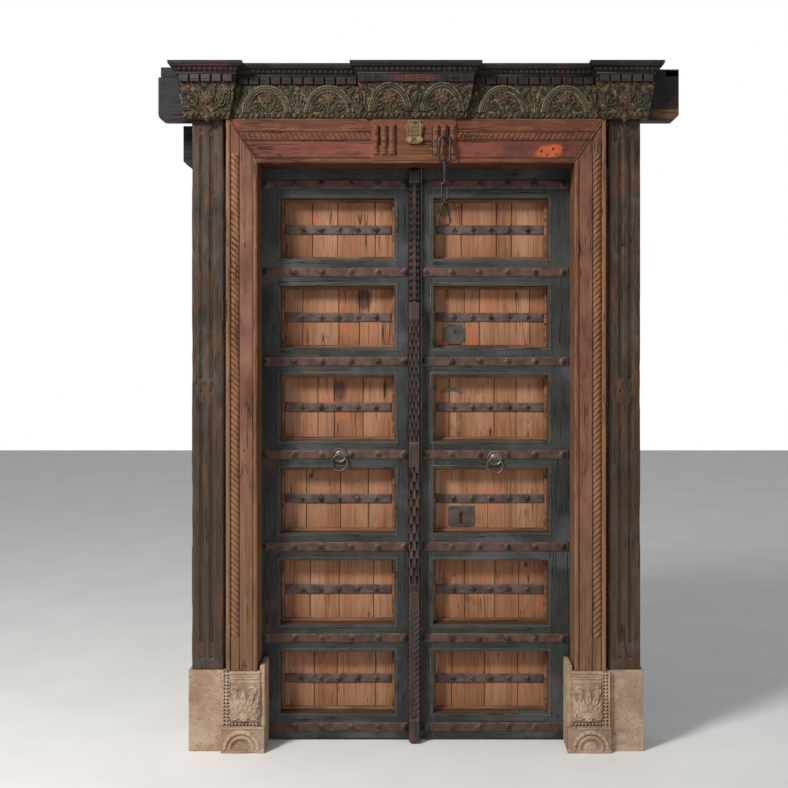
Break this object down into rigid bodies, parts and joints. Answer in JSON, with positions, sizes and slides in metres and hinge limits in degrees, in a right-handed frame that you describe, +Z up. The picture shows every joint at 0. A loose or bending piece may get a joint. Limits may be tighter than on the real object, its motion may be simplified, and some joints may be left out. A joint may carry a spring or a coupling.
{
  "type": "carved two-leaf timber door with frame",
  "caption": "Old carved timber double door in its frame on stone bases, with a dentilled cornice, flowered frieze, iron straps, ring pulls and a hasp chain.",
  "frame": {"origin": "on the floor under the middle of the whole door", "axes": "+Z up, +Y from the carved front to the back, +X to the right seen from the front"},
  "size_m": [1.789, 0.283, 2.346],
  "materials": {
    "sandstone": "worn carved sandstone",
    "pilaster_wood": "dark weathered timber",
    "head_wood": "red-brown worn paint on timber",
    "dark_wood": "blackened timber",
    "frieze_wood": "worn ochre and dark green paint",
    "leaf_wood": "slate green painted timber",
    "panel_wood": "bare weathered boards",
    "post_wood": "dark carved timber",
    "old_iron": "old forged iron",
    "pull_metal": "rubbed grey iron",
    "brass_trim": "worn gilt"
  },
  "bodies": {
    "door_frame": {"stone_base_left": "sandstone", "stone_base_right": "sandstone", "pilaster_left": "pilaster_wood", "pilaster_right": "pilaster_wood", "jamb_left": "head_wood", "jamb_right": "head_wood", "frieze_bay_left": "frieze_wood", "frieze_bay_right": "frieze_wood", "frieze_block_left": "frieze_wood", "frieze_block_right": "frieze_wood", "frieze_block_centre": "frieze_wood", "head_rail": "head_wood", "head_plaque": "brass_trim", "lintel_beam": "dark_wood", "cornice": "dark_wood", "pivot_lintel": "dark_wood", "chain_staple": "old_iron"},
    "left_leaf": {"left_pivot_stile": "leaf_wood", "left_meeting_stile": "leaf_wood", "left_rails": "leaf_wood", "left_panel_1": "panel_wood", "left_panel_2": "panel_wood", "left_panel_3": "panel_wood", "left_panel_4": "panel_wood", "left_panel_5": "panel_wood", "left_panel_6": "panel_wood", "left_panel_beads": "leaf_wood", "left_straps": "old_iron", "left_panel_straps": "old_iron", "left_studs": "old_iron", "left_panel_nails": "old_iron", "left_ring_rose": "pull_metal", "centre_post": "post_wood"},
    "right_leaf": {"right_pivot_stile": "leaf_wood", "right_meeting_stile": "leaf_wood", "right_rails": "leaf_wood", "right_panel_1": "panel_wood", "right_panel_2": "panel_wood", "right_panel_3": "panel_wood", "right_panel_4": "panel_wood", "right_panel_5": "panel_wood", "right_panel_6": "panel_wood", "right_panel_beads": "leaf_wood", "right_straps": "old_iron", "right_panel_straps": "old_iron", "right_studs": "old_iron", "right_panel_nails": "old_iron", "right_ring_rose": "pull_metal", "notched_plate": "old_iron", "crescent_strip": "old_iron", "key_plate": "old_iron"},
    "left_pull": {"left_ring": "pull_metal"},
    "right_pull": {"right_ring": "pull_metal"},
    "chain_link_1": {"chain_link_1": "old_iron"},
    "chain_link_2": {"chain_link_2": "old_iron"},
    "chain_link_3": {"chain_link_3": "old_iron"},
    "chain_ring": {"chain_ring": "old_iron"},
    "hasp_loop": {"hasp_loop": "old_iron"}
  },
  "joints": [
    {"name": "left_leaf_hinge", "type": "hinge", "parent": "door_frame", "child": "left_leaf", "pos_m": [-0.5585, 0.0895, 0], "axis": [0, 0, 1], "range_deg": [0, 90]},
    {"name": "right_leaf_hinge", "type": "hinge", "parent": "door_frame", "child": "right_leaf", "pos_m": [0.5415, 0.0895, 0], "axis": [0, 0, 1], "range_deg": [-90, 0]},
    {"name": "left_pull_hinge", "type": "hinge", "parent": "left_leaf", "child": "left_pull", "pos_m": [-0.2775, 0.0375, 1.0047], "axis": [1, 0, 0], "range_deg": [-90, 0]},
    {"name": "right_pull_hinge", "type": "hinge", "parent": "right_leaf", "child": "right_pull", "pos_m": [0.2675, 0.0375, 0.9937], "axis": [1, 0, 0], "range_deg": [-90, 0]},
    {"name": "chain_link_1_hinge", "type": "hinge", "parent": "door_frame", "child": "chain_link_1", "pos_m": [0.0875, -0.1105, 2.0954], "axis": [1, 0, 0], "range_deg": [-60, 3]},
    {"name": "chain_link_2_hinge", "type": "hinge", "parent": "chain_link_1", "child": "chain_link_2", "pos_m": [0.0875, -0.1105, 2.0143], "axis": [0, 1, 0], "range_deg": [-25, 25]},
    {"name": "chain_link_3_hinge", "type": "hinge", "parent": "chain_link_2", "child": "chain_link_3", "pos_m": [0.0875, -0.1105, 1.9382], "axis": [1, 0, 0], "range_deg": [-50, 50]},
    {"name": "chain_ring_hinge", "type": "hinge", "parent": "chain_link_3", "child": "chain_ring", "pos_m": [0.0875, -0.1105, 1.8881], "axis": [0, 1, 0], "range_deg": [-20, 20]},
    {"name": "hasp_loop_hinge", "type": "hinge", "parent": "chain_ring", "child": "hasp_loop", "pos_m": [0.0875, -0.1105, 1.8685], "axis": [1, 0, 0], "range_deg": [-50, 50]}
  ]
}
